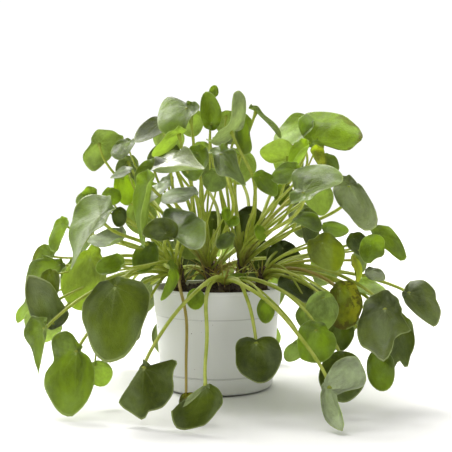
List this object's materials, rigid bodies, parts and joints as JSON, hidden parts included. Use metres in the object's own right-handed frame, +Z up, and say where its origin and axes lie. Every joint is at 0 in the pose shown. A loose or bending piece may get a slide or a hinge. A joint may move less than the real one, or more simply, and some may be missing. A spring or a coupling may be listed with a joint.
{
  "type": "potted chinese money plant",
  "caption": "Bushy round-leaved house plant with long arching petioles, standing in a plain white nursery pot filled with soil.",
  "frame": {"origin": "middle of the pot's flat underside, on the surface it stands on", "axes": "+Z up along the pot's axis, -Y towards the side that the picture shows, +X to that side's right"},
  "size_m": [0.4393, 0.3562, 0.3254],
  "materials": {
    "pot_plastic": "satin white moulded plastic",
    "soil": "rough dark potting soil",
    "foliage": "satin green leaves and petioles"
  },
  "bodies": {
    "root": {"pot": "pot_plastic", "soil": "soil", "stem_left": "foliage", "stem_middle": "foliage", "stem_centre": "foliage", "stem_right": "foliage", "stem_front": "foliage", "stem_back": "foliage"}
  },
  "joints": []
}
